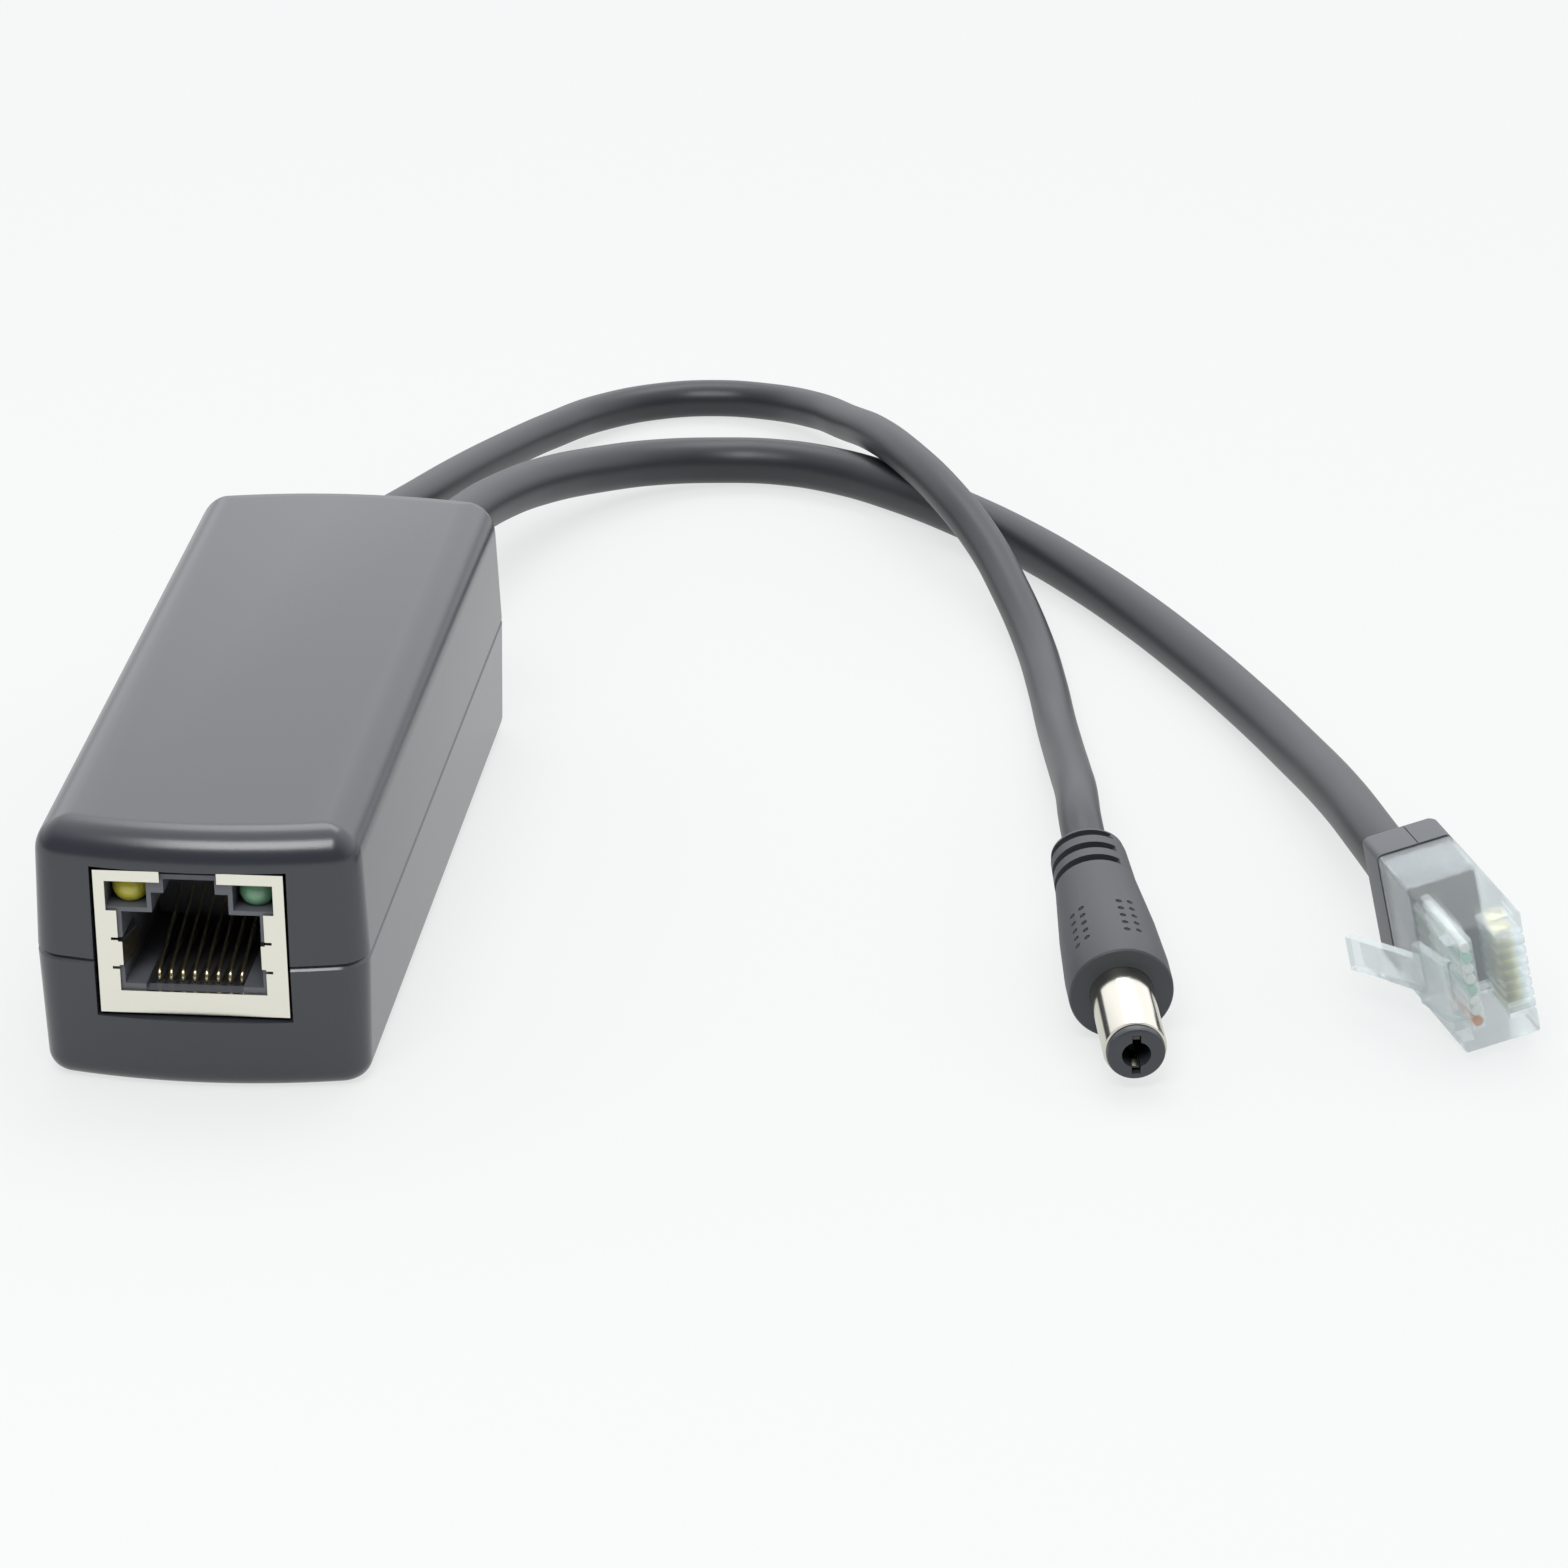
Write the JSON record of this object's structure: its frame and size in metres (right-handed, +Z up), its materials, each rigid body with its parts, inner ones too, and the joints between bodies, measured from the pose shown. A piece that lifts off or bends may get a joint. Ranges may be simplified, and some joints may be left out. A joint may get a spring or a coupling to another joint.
{
  "type": "PoE splitter",
  "caption": "Small two-shell housing with a network jack in front and two short cords behind, one ending in a barrel power plug, one in a clear network plug.",
  "frame": {"origin": "middle of the housing's underside, on the surface that it stands on", "axes": "+Z up, +Y along the housing from the jack's end to the cords' end, +X to the right seen from the jack's end"},
  "size_m": [0.1264, 0.1616, 0.0237],
  "materials": {
    "housing_plastic": "moulded ABS with a fine spark texture",
    "board_laminate": "glass-fibre board under green solder resist",
    "nickel_plate": "nickel-plated sheet, bright",
    "insert_plastic": "black glass-filled nylon",
    "gold_plate": "gold-plated phosphor bronze",
    "lamp_yellow_lens": "tinted clear epoxy",
    "lamp_green_lens": "tinted clear epoxy",
    "chip_epoxy": "moulded epoxy",
    "white_epoxy": "moulded white epoxy",
    "ferrite": "sintered ferrite, dull grey",
    "winding_tape": "polyester tape over the winding",
    "copper_wire": "enamelled copper",
    "can_sleeve": "shrink sleeve over an aluminium can",
    "blue_ceramic": "epoxy-dipped ceramic disc",
    "part_ceramic": "sintered ceramic chips with tinned ends",
    "tie_nylon": "natural nylon",
    "wire_sleeve_red": "PVC-insulated wire",
    "wire_sleeve_pairs": "PVC-insulated pairs",
    "cord_jacket": "satin black PVC",
    "grip_pvc": "matt dark grey moulded PVC",
    "boot_pvc": "grey moulded PVC",
    "clear_polycarbonate": "clear moulded polycarbonate"
  },
  "bodies": {
    "root": {"upper_shell": "housing_plastic", "lower_shell": "housing_plastic", "circuit_board": "board_laminate", "jack_shield": "nickel_plate", "jack_housing": "insert_plastic", "jack_contacts": "gold_plate", "jack_lamp_yellow": "lamp_yellow_lens", "jack_lamp_green": "lamp_green_lens", "data_transformer": "chip_epoxy", "bridge_rectifier_1": "chip_epoxy", "bridge_rectifier_2": "chip_epoxy", "transformer_core": "ferrite", "transformer_bobbin": "insert_plastic", "transformer_winding": "winding_tape", "input_capacitor": "can_sleeve", "output_capacitor_1": "can_sleeve", "output_capacitor_2": "can_sleeve", "choke_core": "ferrite", "choke_winding": "copper_wire", "controller_chip": "chip_epoxy", "optocoupler": "white_epoxy", "rectifier_diode": "chip_epoxy", "safety_capacitor": "blue_ceramic", "small_chip_parts": "part_ceramic", "dc_cord_tie": "tie_nylon", "data_cord_tie": "tie_nylon", "dc_leads": "wire_sleeve_red", "data_leads": "wire_sleeve_pairs", "dc_cord": "cord_jacket", "data_cord": "cord_jacket", "dc_plug_grip": "grip_pvc", "dc_plug_barrel": "nickel_plate", "dc_plug_insulator": "insert_plastic", "dc_plug_contact": "gold_plate", "data_plug_boot": "boot_pvc", "data_plug_body": "clear_polycarbonate", "data_plug_blades": "gold_plate", "data_plug_wires": "wire_sleeve_pairs"}
  },
  "joints": []
}
